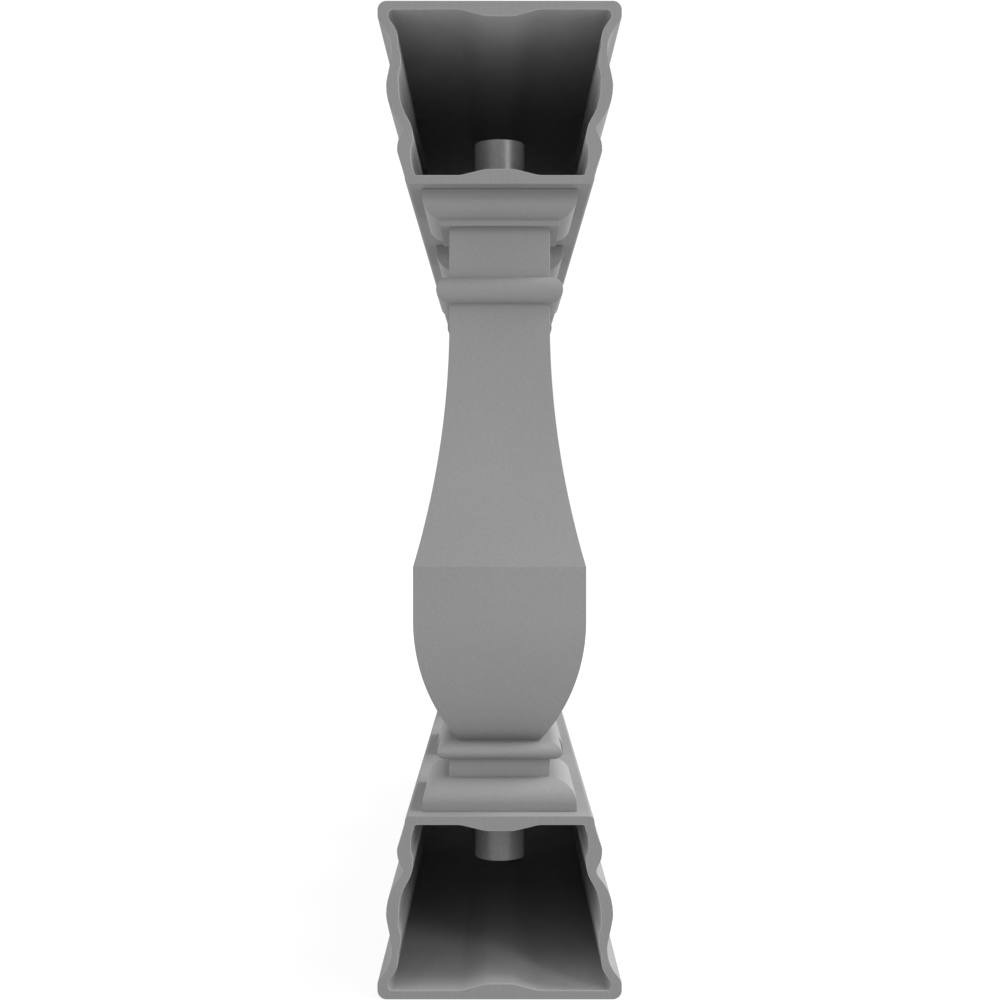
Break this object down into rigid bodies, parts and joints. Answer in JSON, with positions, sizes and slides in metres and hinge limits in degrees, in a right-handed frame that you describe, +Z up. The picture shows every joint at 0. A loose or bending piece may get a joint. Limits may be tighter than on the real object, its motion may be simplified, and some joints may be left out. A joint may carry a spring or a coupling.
{
  "type": "balustrade",
  "caption": "Straight balustrade run: hollow moulded top and bottom rails, square vase balusters between them and a steel pipe through each baluster into both rails.",
  "frame": {"origin": "middle of the run, on the underside of the bottom rail", "axes": "+X along the run, +Y across the rails, +Z up"},
  "size_m": [1.099, 0.2238, 0.9144],
  "materials": {
    "moulding": "plain grey moulded finish, matt, very slightly mottled",
    "pipe_steel": "galvanised steel pipe, dull grey with faint lengthwise marks"
  },
  "bodies": {
    "root": {"bottom_rail": "moulding", "top_rail": "moulding", "baluster_1": "moulding", "pipe_1": "pipe_steel", "baluster_2": "moulding", "pipe_2": "pipe_steel", "baluster_3": "moulding", "pipe_3": "pipe_steel", "baluster_4": "moulding", "pipe_4": "pipe_steel"}
  },
  "joints": []
}
